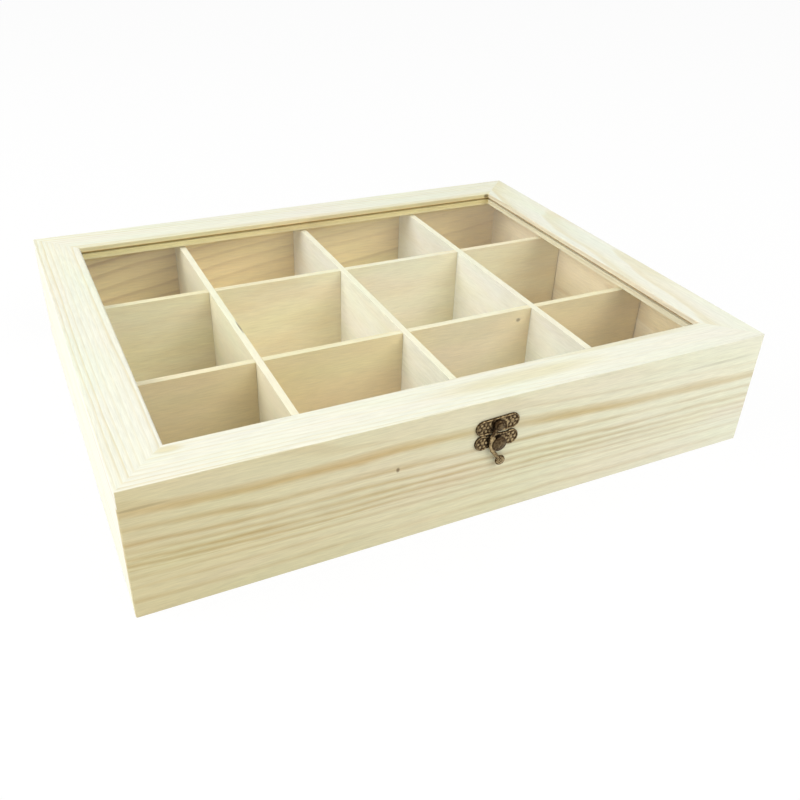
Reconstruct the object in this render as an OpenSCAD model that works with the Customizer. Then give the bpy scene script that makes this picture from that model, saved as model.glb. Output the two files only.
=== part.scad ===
// Tea bag organizer box: a glazed, hinged lid over twelve compartments, with a swing-hook clasp.
// The box stands centred on the origin with its underside at z = 0 and its front towards -Y.

/* [Box] */
// Width of the box, left to right
box_w = 350; // [300:1:400]
// Depth of the box, front to back
box_d = 280; // [240:1:320]
// Height of the closed box
box_h = 70; // [60:1:90]
// Thickness of the wall boards
wall_t = 6; // [5.5:0.5:8]
// Thickness of the bottom panel
bottom_t = 4; // [3:0.5:6]
// Radius of the eased outer edges
edge_r = 0.8; // [0.4:0.1:1.2]

/* [Lid] */
// Height of the whole lid, from the seam to the top
lid_h = 19; // [18.5:0.5:23]
// Width of the mitred lid frame
frame_w = 25; // [20:1:32]
// Thickness of the mitred lid frame
frame_t = 9; // [8:0.5:9.5]
// Thickness of the frame above the glass
lip_t = 3.5; // [2.5:0.25:4]
// Thickness of the glass
glass_t = 2; // [1.5:0.1:3]
// Depth of the glass groove
groove_depth = 5; // [4:0.5:8]
// How far the lid opens, in degrees
lid_opening = 105; // [90:1:115]

/* [Dividers] */
// Thickness of the divider boards
divider_t = 4; // [3:0.5:5]
// Gap between the dividers and the underside of the lid frame
divider_headroom = 1.5; // [1:0.25:4]
// Gap at each end of a divider
divider_end_gap = 0.5; // [0.4:0.1:0.9]

/* [Hinges] */
// Length of each hinge
hinge_w = 25; // [20:1:32]
// Height of each hinge leaf
leaf_h = 9.5; // [8.5:0.25:9.5]
// Thickness of the hinge sheet
leaf_t = 0.8; // [0.6:0.1:0.9]
// Radius of the hinge barrel
barrel_r = 2; // [1.7:0.1:2.3]
// Radius of the hinge pin
hinge_pin_r = 0.9; // [0.6:0.05:1]
// Distance from the side of the box to the middle of a hinge
hinge_inset = 62; // [40:1:90]
// Length of the stop flange beyond the barrel
stop_l = 2.6; // [2:0.1:3.5]

/* [Clasp] */
// Sideways place of the clasp, from the middle of the front
clasp_x = 3.5; // [-20:0.5:20]
// Thickness of the stamped clasp plates
plate_t = 0.8; // [0.6:0.1:1]
// Radius of the round ears of both plates
ear_r = 4.2; // [3.8:0.1:4.4]
// Distance from the middle of a plate to each ear
ear_x = 8; // [7:0.25:9]
// Tilt of the hook plate, in degrees
plate_tilt = 3; // [0:0.5:4]
// Thickness of the swing hook
hook_t = 1; // [0.8:0.1:1.4]
// Width of the hook's arm
hook_arm_w = 2; // [1.6:0.1:2.4]
// Radius of the rivet that the hook swings on
rivet_r = 1; // [0.8:0.05:1.2]
// Radius of the catch stud's neck
neck_r = 2.2; // [1.8:0.1:2.4]
// Radius of the catch stud's head
stud_head_r = 4; // [3.3:0.1:4.2]

/* [Fasteners] */
// Radius of the hinge screws
screw_r = 0.9; // [0.7:0.05:1.1]
// Length of a hinge screw in the wood
screw_l = 4.5; // [3:0.25:5]
// Radius of the clasp nails
nail_r = 0.6; // [0.5:0.05:0.8]
// Length of a clasp nail in the wood
nail_l = 4.5; // [3:0.25:5]

/* [Hidden] */
$fn = 64;
eps = 0.01;
columns = 4;
rows = 3;

// Clearances
running_play = 0.05; // round running fits
nail_play = 0.03;    // round a nail or a screw
glass_play = 0.2;    // over the glass in its groove
panel_play = 0.2;    // round the bottom panel
lap_play = 0.1;      // each side of a divider's notch
leaf_gap = 0.3;      // between one leaf and the other's barrel
tip_gap = 0.1;       // past the tip of a nail or a screw

// Heights and insides
seam_z = box_h - lid_h;
frame_z = box_h - frame_t;
lap = wall_t / 2; // depth of the corner and bottom rabbets
inner_w = box_w - 2 * wall_t;
inner_d = box_d - 2 * wall_t;
front_y = -box_d / 2;
back_y = box_d / 2;
glass_z = box_h - lip_t - glass_play - glass_t;
glass_gap = 0.5; // from the glass to the bottom of its groove

// Dividers
divider_top = frame_z - divider_headroom;
divider_h = divider_top - bottom_t;
column_pitch = (inner_w - (columns - 1) * divider_t) / columns + divider_t;
row_pitch = (inner_d - (rows - 1) * divider_t) / rows + divider_t;
column_x = [for (i = [1:columns - 1]) (i - columns / 2) * column_pitch];
row_y = [for (i = [1:rows - 1]) (i - rows / 2) * row_pitch];

// Hinges: the axis runs along X, just behind the back face and level with the seam
axis_off = barrel_r + 0.2;
hinge_x = box_w / 2 - hinge_inset;
knuckle_gap = 0.15;
knuckle_w = (hinge_w - 2 * knuckle_gap) / 3;
screw_dx = hinge_w * 0.3;
screw_dz = barrel_r + leaf_gap + (leaf_h - barrel_r - leaf_gap) / 2;
screw_head_r = 1.9;
screw_head_h = 1;
pin_head_r = hinge_pin_r + 0.5;
pin_head_l = 0.4;
stop_gap = 0.08; // between the two stop flanges of an open hinge
stop_t = leaf_t;

// Clasp: heights are from the seam, and depths from the front face outwards
ear_z = ear_r + 0.3; // of both plates, up on the lid and down on the base
pivot_z = ear_z + 0.1;
hook_back = plate_t + 1.1;
hook_front = hook_back + hook_t;
hook_play = 0.15; // in front of and behind the hook
rim_w = 0.8;
rim_t = 0.35;
bar_half = ear_r - 0.6;
boss_r = 2.4;
eye_r = 2.7;
rivet_head_r = 1.9;
rivet_head_h = 0.7;
stud_x = 0.4;
stud_z = -5.6;
stud_head_h = 1;
stud_tenon_r = 1.2;
catch_r = stud_head_r + 1;
hook_gap = 0.4; // round the stud's neck
bow_r = neck_r + hook_gap + hook_arm_w + 0.8;
arm_x = stud_x - bow_r + hook_arm_w / 2;
tail_r = 2.7;
tail_x = 2.3;
tail_z = -16.3;
nail_head_r = 1.3;
nail_head_h = 0.6;

pine = "#efe3bd";
pine_face = "#e6d6ac";
ply = "#dccb9c";
bronze = "#6b5b41";
bronze_light = "#8f7d58";

// ---- Walls: the rim of the lid is sawn from the same boards as the base ----

// Plan of the box with its corners eased
module box_plan() {
  square([box_w, box_d - 2 * edge_r], center = true);
  square([box_w - 2 * edge_r, box_d], center = true);
  for (x = [-1, 1], y = [-1, 1])
    translate([x * (box_w / 2 - edge_r), y * (box_d / 2 - edge_r)]) circle(edge_r);
}

// A long wall, side -1 for the front and 1 for the back, rabbeted at both ends for the short walls
module long_wall(side, z0, z1) {
  translate([0, 0, z0]) linear_extrude(z1 - z0) difference() {
    intersection() {
      box_plan();
      translate([0, side * (box_d / 2 - wall_t / 2)]) square([box_w, wall_t], center = true);
    }
    for (end = [-1, 1])
      translate([end * (box_w / 2 - wall_t / 2), side * (box_d / 2 - wall_t / 2 - lap)])
        square([wall_t, wall_t], center = true);
  }
}

// A short wall, side -1 for the left and 1 for the right, with its ends in the long walls' rabbets
module short_wall(side, z0, z1) {
  translate([side * (box_w / 2 - wall_t / 2), 0, (z0 + z1) / 2])
    cube([wall_t, box_d - 2 * (wall_t - lap), z1 - z0], center = true);
}

// Space of the bottom panel, grown by its play
module panel_space(play) {
  translate([0, 0, (bottom_t - eps) / 2])
    cube([box_w - 2 * lap + 2 * play, box_d - 2 * lap + 2 * play, bottom_t + eps], center = true);
}

module front_board() {
  color(pine_face) difference() {
    long_wall(-1, 0, seam_z);
    panel_space(panel_play);
    on_front() for (end = [-1, 1]) translate([end * ear_x, -ear_z, 0]) nail_hole();
  }
}

module back_board() {
  color(pine_face) difference() {
    long_wall(1, 0, seam_z);
    panel_space(panel_play);
    screw_holes(-1);
  }
}

module base_side(side) {
  color(pine) difference() {
    short_wall(side, 0, seam_z);
    panel_space(panel_play);
  }
}

module bottom_panel() {
  color(ply) translate([0, 0, bottom_t / 2])
    cube([box_w - 2 * lap, box_d - 2 * lap, bottom_t], center = true);
}

module lid_rim_front() {
  color(pine_face) difference() {
    long_wall(-1, seam_z, frame_z);
    on_front() tilted() for (end = [-1, 1]) translate([end * ear_x, ear_z, 0]) nail_hole();
  }
}

module lid_rim_back() {
  color(pine_face) difference() {
    long_wall(1, seam_z, frame_z);
    screw_holes(1);
  }
}

module lid_rim_side(side) {
  color(pine) short_wall(side, seam_z, frame_z);
}

// ---- Dividers: a notched grid that stands on the bottom panel ----

// A board along X with notches from its top edge
module row_divider(y) {
  color(ply) difference() {
    translate([0, y, bottom_t + divider_h / 2])
      cube([inner_w - 2 * divider_end_gap, divider_t, divider_h], center = true);
    for (x = column_x) translate([x, y, bottom_t + divider_h])
      cube([divider_t + 2 * lap_play, divider_t + 1, divider_h], center = true);
  }
}

// A board along Y with notches from its bottom edge
module column_divider(x) {
  color(ply) difference() {
    translate([x, 0, bottom_t + divider_h / 2])
      cube([divider_t, inner_d - 2 * divider_end_gap, divider_h], center = true);
    for (y = row_y) translate([x, y, bottom_t])
      cube([divider_t + 1, divider_t + 2 * lap_play, divider_h], center = true);
  }
}

// ---- Lid frame: four grooved members, mitred round the glass ----

// Section of a member: x runs inwards from the outer edge, y up from its underside
module frame_section() {
  difference() {
    union() {
      square([frame_w, frame_t - edge_r]);
      translate([edge_r, 0]) square([frame_w - 2 * edge_r, frame_t]);
      for (x = [edge_r, frame_w - edge_r]) translate([x, frame_t - edge_r]) circle(edge_r);
    }
    translate([frame_w - groove_depth, glass_z - frame_z])
      square([groove_depth + 1, glass_t + glass_play]);
  }
}

// A member of the given outer length along X, mitred at both ends, with its outer edge at y = 0
module frame_member(length) {
  intersection() {
    translate([-length / 2, 0, 0]) rotate([90, 0, 90]) linear_extrude(length) frame_section();
    linear_extrude(frame_t) polygon([
      [-length / 2, 0], [length / 2, 0],
      [length / 2 - frame_w, frame_w], [-length / 2 + frame_w, frame_w]
    ]);
  }
}

// Turn 0 is the front, 1 the right, 2 the back and 3 the left
module lid_frame(turn) {
  length = turn % 2 == 0 ? box_w : box_d;
  reach = turn % 2 == 0 ? box_d / 2 : box_w / 2;
  color(pine) intersection() {
    translate([0, 0, frame_z]) rotate([0, 0, 90 * turn]) translate([0, -reach, 0])
      frame_member(length);
    translate([0, 0, frame_z]) linear_extrude(frame_t) box_plan();
  }
}

module glass_pane() {
  inset = frame_w - groove_depth + glass_gap;
  color([0.85, 0.95, 0.9, 0.35]) translate([0, 0, glass_z + glass_t / 2])
    cube([box_w - 2 * inset, box_d - 2 * inset, glass_t], center = true);
}

// ---- Hinges: stamped stop hinges, whose flanges meet when the lid is open ----

// Places its children on a hinge's axis, with x along the axis, y outwards and z up
module on_axis(side) {
  translate([side * hinge_x, back_y + axis_off, seam_z]) children();
}

// Extrudes a section drawn in (y, z) over x from a to b
module along_axis(a, b) {
  translate([a, 0, 0]) rotate([90, 0, 90]) linear_extrude(b - a) children();
}

// One leaf of a hinge. It hangs down, for the base, with its knuckles at the listed spans of x.
module leaf(spans) {
  flange_r = barrel_r + leaf_gap;
  difference() {
    union() {
      along_axis(-hinge_w / 2, hinge_w / 2) {
        translate([-axis_off, -leaf_h]) square([leaf_t, leaf_h - flange_r]);
        rotate(-lid_opening / 2) translate([flange_r, -stop_gap / 2 - stop_t]) square([stop_l, stop_t]);
      }
      for (s = spans) along_axis(s[0], s[1]) {
        translate([-axis_off, -leaf_h]) square([leaf_t, leaf_h]);
        circle(barrel_r);
        rotate(-lid_opening / 2) translate([0, -stop_gap / 2 - stop_t])
          square([flange_r + stop_l / 2, stop_t]);
      }
    }
    along_axis(-hinge_w / 2 - 1, hinge_w / 2 + 1) circle(hinge_pin_r + running_play);
    for (end = [-1, 1])
      translate([end * screw_dx, -axis_off + leaf_t / 2, -screw_dz]) rotate([90, 0, 0])
        cylinder(r = screw_r + nail_play, h = leaf_t + 1, center = true);
  }
}

module hinge_base_leaf(side) {
  edge = hinge_w / 2;
  color(bronze) on_axis(side) leaf([[-edge, -edge + knuckle_w], [edge - knuckle_w, edge]]);
}

module hinge_lid_leaf(side) {
  color(bronze) on_axis(side) mirror([0, 0, 1]) leaf([[-knuckle_w / 2, knuckle_w / 2]]);
}

module hinge_pin(side) {
  head_x = hinge_w / 2 + running_play;
  color(bronze_light) on_axis(side) rotate([0, 90, 0]) {
    cylinder(r = hinge_pin_r, h = 2 * head_x + 2 * pin_head_l, center = true);
    for (end = [-1, 1]) translate([0, 0, end * (head_x + pin_head_l / 2)])
      cylinder(r = pin_head_r, h = pin_head_l, center = true);
  }
}

// Round cap of the given radius and height on z = 0
module dome(r, h) {
  ball_r = (r * r + h * h) / (2 * h);
  rotate_extrude() intersection() {
    translate([0, h - ball_r]) circle(ball_r);
    square([r, h]);
  }
}

// Domed head on z = 0, with its shank below
module domed_pin(shank_r, shank_l, head_r, head_h) {
  translate([0, 0, -shank_l]) cylinder(r = shank_r, h = shank_l + head_h / 2);
  dome(head_r, head_h);
}

// Places its children at the four screws of one leaf row, up = 1 on the lid and -1 on the base
module at_screws(up) {
  for (side = [-1, 1], end = [-1, 1])
    translate([side * hinge_x + end * screw_dx, back_y, seam_z + up * screw_dz])
      rotate([-90, 0, 0]) children();
}

module screw_holes(up) {
  at_screws(up) translate([0, 0, -screw_l]) cylinder(r = screw_r + nail_play, h = screw_l + 1);
}

module hinge_screws(up) {
  slot_w = 0.5;
  color(bronze_light) at_screws(up) translate([0, 0, leaf_t]) difference() {
    domed_pin(screw_r, screw_l + leaf_t - tip_gap, screw_head_r, screw_head_h);
    translate([0, 0, screw_head_h]) cube([2 * screw_head_r, slot_w, screw_head_h], center = true);
  }
}

// ---- Clasp: a hook plate on the lid and a catch plate on the base ----

// Clasp frame: x to the right, y up from the seam, z outwards from the front face
module on_front() {
  translate([clasp_x, front_y, seam_z]) rotate([90, 0, 0]) children();
}

// Turns its children about the hook's pivot, by the tilt of the hook plate
module tilted() {
  translate([0, pivot_z, 0]) rotate([0, 0, plate_tilt]) translate([0, -pivot_z, 0]) children();
}

module nail_hole() {
  translate([0, 0, -nail_l]) cylinder(r = nail_r + nail_play, h = nail_l + 1);
}

// Bar with round ends, from p to q
module strap(p, q, r) {
  run = q - p;
  translate(p) circle(r);
  translate(q) circle(r);
  translate(p) rotate(atan2(run[1], run[0])) translate([0, -r]) square([norm(run), 2 * r]);
}

// Outline of a plate: two ears on a bar of the given half height, and a round middle.
// shrink draws it smaller all round.
module plate_outline(y, bar, middle, middle_r, shrink) {
  for (end = [-1, 1]) translate([end * ear_x, y]) circle(ear_r - shrink);
  translate([0, y]) square([2 * ear_x, 2 * (bar - shrink)], center = true);
  translate(middle) circle(middle_r - shrink);
}

// Sheet with a raised bead round its outline
module stamped_plate(y, bar, middle, middle_r) {
  linear_extrude(plate_t) plate_outline(y, bar, middle, middle_r, 0);
  linear_extrude(plate_t + rim_t) difference() {
    plate_outline(y, bar, middle, middle_r, 0);
    plate_outline(y, bar, middle, middle_r, rim_w);
  }
}

module clasp_hook_plate() {
  color(bronze) on_front() difference() {
    union() {
      tilted() stamped_plate(ear_z, ear_r, [0, pivot_z], boss_r);
      translate([0, pivot_z, 0]) cylinder(r = boss_r, h = hook_back - hook_play);
    }
    tilted() for (end = [-1, 1]) translate([end * ear_x, ear_z, -1])
      cylinder(r = nail_r + nail_play, h = plate_t + 2);
    translate([0, pivot_z, -1]) cylinder(r = rivet_r + running_play, h = hook_back + 1);
  }
}

module clasp_rivet() {
  color(bronze_light) on_front() translate([0, pivot_z, hook_front + hook_play])
    domed_pin(rivet_r, hook_front + hook_play, rivet_head_r, rivet_head_h);
}

// Flat outline of the hook: its eye, its arm, the bow round the stud and the thumb tail
module hook_outline() {
  arm_r = hook_arm_w / 2;
  stud = [stud_x, stud_z];
  bend = [arm_x, stud_z + bow_r - arm_r];
  translate([0, pivot_z]) circle(eye_r);
  strap([-arm_r, pivot_z - arm_r], bend, arm_r);
  strap(bend, [arm_x, stud_z], arm_r);
  translate(stud) intersection() {
    difference() {
      circle(bow_r);
      circle(neck_r + hook_gap);
    }
    polygon([[0, 0], [-2 * bow_r, 0], [-2 * bow_r, -2 * bow_r], [bow_r / 2, -2 * bow_r]]);
  }
  strap(stud + [-bow_r + 2 * arm_r, -bow_r + 2 * arm_r], [tail_x, tail_z], arm_r);
  translate([tail_x, tail_z]) circle(tail_r);
}

module clasp_hook() {
  color(bronze_light) on_front() difference() {
    translate([0, 0, hook_back]) {
      linear_extrude(hook_t) hook_outline();
      translate([tail_x, tail_z, hook_t]) rotate_extrude() intersection() {
        translate([0, -tail_r]) circle(tail_r + hook_t / 2);
        square([tail_r - 0.3, hook_t]);
      }
    }
    translate([0, pivot_z, 0]) cylinder(r = rivet_r + running_play, h = hook_front + 1);
  }
}

module clasp_catch_plate() {
  color(bronze) on_front() difference() {
    stamped_plate(-ear_z, bar_half, [stud_x, stud_z], catch_r);
    for (end = [-1, 1]) translate([end * ear_x, -ear_z, -1])
      cylinder(r = nail_r + nail_play, h = plate_t + 2);
    translate([stud_x, stud_z, -1]) cylinder(r = stud_tenon_r + nail_play, h = plate_t + 2);
  }
}

module clasp_catch_stud() {
  color(bronze_light) on_front() translate([stud_x, stud_z, 0]) {
    cylinder(r = stud_tenon_r, h = hook_front);
    translate([0, 0, plate_t]) cylinder(r = neck_r, h = hook_front + hook_play - plate_t);
    translate([0, 0, hook_front + hook_play]) dome(stud_head_r, stud_head_h);
  }
}

// The two nails of one plate, in the clasp frame, at the height of its ears
module plate_nails(y) {
  for (end = [-1, 1]) translate([end * ear_x, y, plate_t])
    domed_pin(nail_r, nail_l + plate_t - tip_gap, nail_head_r, nail_head_h);
}

module clasp_plate_nails() {
  color(bronze_light) on_front() tilted() plate_nails(ear_z);
}

module clasp_catch_nails() {
  color(bronze_light) on_front() plate_nails(-ear_z);
}

front_board();
back_board();
base_side(-1);  // left_board
base_side(1);  // right_board
bottom_panel();
row_divider(row_y[0]);  // row_divider_front
row_divider(row_y[1]);  // row_divider_back
column_divider(column_x[0]);  // column_divider_left
column_divider(column_x[1]);  // column_divider_middle
column_divider(column_x[2]);  // column_divider_right
lid_rim_front();
lid_rim_back();
lid_rim_side(-1);  // lid_rim_left
lid_rim_side(1);  // lid_rim_right
lid_frame(0);  // lid_frame_front
lid_frame(1);  // lid_frame_right
lid_frame(2);  // lid_frame_back
lid_frame(3);  // lid_frame_left
glass_pane();
hinge_base_leaf(-1);  // hinge_left_base_leaf
hinge_base_leaf(1);  // hinge_right_base_leaf
hinge_lid_leaf(-1);  // hinge_left_lid_leaf
hinge_lid_leaf(1);  // hinge_right_lid_leaf
hinge_pin(-1);  // hinge_left_pin
hinge_pin(1);  // hinge_right_pin
hinge_screws(-1);  // hinge_base_screws
hinge_screws(1);  // hinge_lid_screws
clasp_hook_plate();
clasp_hook();
clasp_rivet();
clasp_plate_nails();
clasp_catch_plate();
clasp_catch_stud();
clasp_catch_nails();
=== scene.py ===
"""Looks of the tea bag organizer box: bare pine and basswood, float glass, antique brass."""

import math

import bmesh
import bpy
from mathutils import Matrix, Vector


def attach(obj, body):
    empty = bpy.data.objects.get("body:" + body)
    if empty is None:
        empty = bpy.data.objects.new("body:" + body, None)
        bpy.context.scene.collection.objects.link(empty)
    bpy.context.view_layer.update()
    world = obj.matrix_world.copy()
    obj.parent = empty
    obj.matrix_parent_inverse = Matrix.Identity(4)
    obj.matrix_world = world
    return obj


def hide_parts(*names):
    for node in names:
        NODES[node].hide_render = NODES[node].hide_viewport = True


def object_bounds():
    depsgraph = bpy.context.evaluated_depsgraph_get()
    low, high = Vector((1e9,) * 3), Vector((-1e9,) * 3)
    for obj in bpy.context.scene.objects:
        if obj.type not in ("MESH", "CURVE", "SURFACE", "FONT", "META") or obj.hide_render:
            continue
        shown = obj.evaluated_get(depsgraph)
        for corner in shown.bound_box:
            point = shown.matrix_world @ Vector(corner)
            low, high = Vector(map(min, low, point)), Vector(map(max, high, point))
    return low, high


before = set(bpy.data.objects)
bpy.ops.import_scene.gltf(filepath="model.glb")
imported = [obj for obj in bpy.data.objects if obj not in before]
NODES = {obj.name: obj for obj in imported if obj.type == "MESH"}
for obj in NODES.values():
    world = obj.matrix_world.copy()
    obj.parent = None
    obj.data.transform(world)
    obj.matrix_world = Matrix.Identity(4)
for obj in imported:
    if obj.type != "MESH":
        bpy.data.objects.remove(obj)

bl_info = {
    "name": "Tea Bag Organizer Box",
    "version": (1, 0, 0),
    "blender": (4, 5, 0),
    "location": "View3D > Sidebar > Tea Box",
    "description": "Dresses the glazed pine box: its woods, glass, hinges and swing-hook clasp",
    "category": "Object",
}

MM = 0.001
CAD_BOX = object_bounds()

FRONT_FACE = -140.0  # mm, the outer face of the front wall
SANDED_LIT_FROM = 67.0  # mm, the height from which the upward faces of the lid frame are sanded and painted paler, as lit from above
NO_END = 9999.0  # mm, the reach of a mark that runs from end to end

HINGE_LEAVES = [f"hinge_{side}_{of}_leaf" for of in ("base", "lid") for side in ("left", "right")]
HINGE_FASTENERS = ("hinge_left_pin", "hinge_right_pin", "hinge_base_screws", "hinge_lid_screws")


def linear(hex_colour):
    """Turns an sRGB hex colour into the linear colour that a shader takes."""
    parts = [int(hex_colour[i : i + 2], 16) / 255 for i in (1, 3, 5)]
    curve = [c / 12.92 if c <= 0.04045 else ((c + 0.055) / 1.055) ** 2.4 for c in parts]
    return (*curve, 1.0)


def colour_property(name, description, hex_colour):
    """A colour that a user may change, given in hex."""
    return bpy.props.FloatVectorProperty(
        name=name,
        description=description,
        subtype="COLOR",
        size=3,
        min=0,
        max=1,
        default=linear(hex_colour)[:3],
    )


def length_property(name, description, default):
    """A length in metres that a user may change."""
    return bpy.props.FloatProperty(
        name=name,
        description=description,
        unit="LENGTH",
        subtype="DISTANCE",
        precision=5,
        default=default,
    )


class TeaBoxWoodSettings(bpy.types.PropertyGroup):
    """Colours and grain sizes of the woods."""

    earlywood: colour_property("Earlywood", "Spring wood of the pine walls", "#d4caa0")
    latewood: colour_property("Latewood", "Resinous summer wood of the pine walls", "#b99f66")
    resin_wood: colour_property("Resin wood", "Broad band across the front board", "#c6af7b")
    # Painted light: the front's spring wood turns paler and greyer towards its right end, where
    # more light falls.
    lit_right_end: colour_property("Lit_right_end", "Paler wood at one end of the front board", "#ecebd5")
    # Painted light: the left wall is pale and grey, as in the strong light from the left.
    lit_side_earlywood: colour_property("Side earlywood", "Pale wood of the left wall", "#ecebdf")
    rear_earlywood: colour_property("Rear earlywood", "Warm wood of the back wall", "#fde7b2")
    rear_latewood: colour_property("Rear latewood", "Summer wood of the back wall", "#cba76e")
    right_earlywood: colour_property("Right earlywood", "Warm wood of the right wall", "#f9eacd")
    right_latewood: colour_property("Right latewood", "Summer wood of the right wall", "#e0c596")
    # Painted light: the top of the lid frame takes these two, paler and greyer than its edges, as
    # lit from above; the left wall shares the latewood.
    lit_frame_earlywood: colour_property("Frame earlywood", "Sanded top of the lid frame", "#ebecdb")
    frame_latewood: colour_property("Frame latewood", "Grain of lid frame and left wall", "#e0d9b6")
    lip_back: colour_property("Back lip", "Golden edges of the frame's back member", "#fbecb8")
    lip_right: colour_property("Right lip", "Pale edges of the frame's right member", "#fbf3da")
    # Painted light and shade: the long dividers face the front and are tan as if shaded, the short
    # ones face the light from the left and are near white as if lit, and the tops have colours of
    # their own for the light from above. The left short divider is a little darker, for the shade
    # on it.
    front_row_basswood: colour_property("Front row basswood", "Front long divider", "#fae6ba")
    shaded_row_basswood: colour_property("Row basswood", "Ground of the long dividers", "#f6ecca")
    row_top: colour_property("Row top", "Upper edges of the long dividers", "#f6eed0")
    shaded_row_vein: colour_property("Row vein", "Veins of the long dividers", "#ead6aa")
    left_column_basswood: colour_property("Left column basswood", "Left short divider", "#f8f0d8")
    lit_column_basswood: colour_property("Column basswood", "Ground of the short dividers", "#f8f6ef")
    column_top: colour_property("Column top", "Upper edges of the short dividers", "#f8f3de")
    lit_column_vein: colour_property("Column vein", "Veins of the short dividers", "#eee9d4")
    bottom_basswood: colour_property("Bottom basswood", "Ground of the bottom panel", "#f6efdc")
    knot: colour_property("Knot", "Small knots and streaks", "#6f5a3a")
    # Painted shadow: the dark line along the glass, under the lip of the frame.
    groove_shadow: colour_property("Groove_shadow", "Glue along the glass", "#a07018")
    ring_spacing: length_property("Ring spacing", "Growth rings of the side walls", 4.5 * MM)
    rear_ring_spacing: length_property("Rear ring spacing", "Rings of the back wall", 8.5 * MM)
    frame_ring_spacing: length_property("Frame ring spacing", "Growth rings of the frame", 3.0 * MM)
    fine_ring_spacing: length_property("Fine ring spacing", "Close rings of the front", 2.4 * MM)
    fibre_width: length_property("Fibre width", "Width of the bundles of fibre", 0.6 * MM)
    edge_softness: length_property("Edge softness", "Sanded radius of the boards' edges", 0.2 * MM)


class TeaBoxMetalSettings(bpy.types.PropertyGroup):
    """Colours and relief of the stamped fittings."""

    patina: colour_property("Patina", "Oxidised ground of the fittings", "#463624")
    brass: colour_property("Brass", "Metal where the patina is rubbed off", "#c1aa7e")
    screw_patina: colour_property("Screw patina", "Tarnish of the hinges' fasteners", "#8d7a57")
    stamp_cell: length_property("Stamp cell", "Grid size of the stamped relief", 0.2 * MM)
    bevel: length_property("Bevel", "Broken edge of the hinge parts", 0.12 * MM)


class TeaBoxStageSettings(bpy.types.PropertyGroup):
    """Camera, floor and lamps."""

    camera_place: bpy.props.FloatVectorProperty(
        name="Camera place",
        description="Where the camera stands",
        subtype="TRANSLATION",
        unit="LENGTH",
        size=3,
        precision=4,
        default=(-0.1948, -0.4212, 0.2844),
    )
    camera_turn: bpy.props.FloatVectorProperty(
        name="Camera turn",
        description="Rotation of the camera about X, Y and Z",
        subtype="EULER",
        unit="ROTATION",
        size=3,
        default=tuple(math.radians(a) for a in (57.41, -2.06, -25.93)),
    )
    lens_mm: bpy.props.FloatProperty(
        name="Lens",
        description="Focal length in millimetres, on a 36 mm sensor",
        default=38.21,
        min=10,
        max=200,
    )
    floor_colour: colour_property("Floor", "Seamless paper under the box", "#fbfbfa")
    floor_size: length_property("Floor size", "Side of the square of paper", 8.0)


# ---- Materials ----


def feed(tree, node, inputs):
    """Fills or links a node's inputs. A node as a value means its first output in use."""
    for name, value in inputs.items():
        socket = node.inputs[name]
        if isinstance(value, bpy.types.Node):
            value = next(output for output in value.outputs if output.enabled)
        if isinstance(value, bpy.types.NodeSocket):
            tree.links.new(value, socket)
        elif socket.type == "RGBA":
            socket.default_value = (*value[:3], 1)
        else:
            socket.default_value = value


def add_node(tree, kind, inputs=None, operation=None, ramp=None, curve=None, **settings):
    """Adds a node with its settings, its inputs and the points of its ramp or curve."""
    node = tree.nodes.new("ShaderNode" + kind)
    if operation:
        node.operation = operation
    for name, value in settings.items():
        setattr(node, name, value)
    feed(tree, node, inputs or {})
    if ramp:
        stops = node.color_ramp.elements
        stops[1].position = 1.0
        for place, level in ramp[1:-1]:
            stops.new(place)
        for stop, (place, level) in zip(stops, ramp):
            stop.position = place
            stop.color = (level, level, level, 1)
    if curve:
        points = node.mapping.curves[0].points
        points[0].location = curve[0]
        points[1].location = curve[-1]
        for place in curve[1:-1]:
            points.new(*place)
        node.mapping.update()
    return node


def new_material(name):
    """A material with an empty tree and its Principled shader, ready for a pattern."""
    made = bpy.data.materials.new(name)
    made.use_nodes = True
    tree = made.node_tree
    tree.nodes.clear()
    shader = add_node(tree, "BsdfPrincipled")
    add_node(tree, "OutputMaterial", {"Surface": shader})
    return made, tree, shader


def mix_in(tree, share, shader, other):
    """Puts another shader in place of a share of the first."""
    mixed = add_node(tree, "MixShader", {0: share, 1: shader, 2: other})
    output = next(n for n in tree.nodes if n.type == "OUTPUT_MATERIAL")
    feed(tree, output, {"Surface": mixed})


def seen_by_eye(tree):
    """1 for rays that bring the picture, mirrored or through glass too, and 0 for the others."""
    path = add_node(tree, "LightPath").outputs
    seen = add_node(tree, "Math", {0: path["Is Camera Ray"], 1: path["Is Glossy Ray"]}, "MAXIMUM")
    return add_node(tree, "Math", {0: seen, 1: path["Is Transmission Ray"]}, "MAXIMUM")


def board_space(tree, along="x", shift=(0, 0, 0)):
    """Millimetres in a board's own space: X along the grain, Y across it and Z upwards."""
    turn = {"x": 0.0, "y": -math.pi / 2}[along]
    place = add_node(tree, "TexCoord").outputs["Object"]
    scaled = add_node(
        tree, "Mapping", {"Vector": place, "Scale": (1 / MM,) * 3, "Rotation": (0, 0, turn)}
    )
    return add_node(tree, "VectorMath", {0: scaled, 1: shift}, "ADD")


def stretched_noise(tree, space, scale, detail=2.0, roughness=0.5):
    """Noise whose cells are 1/scale millimetres along each axis."""
    spread = add_node(tree, "VectorMath", {0: space, 1: scale}, "MULTIPLY")
    looks = {"Vector": spread, "Scale": 1.0, "Detail": detail, "Roughness": roughness}
    return add_node(tree, "TexNoise", looks)


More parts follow.
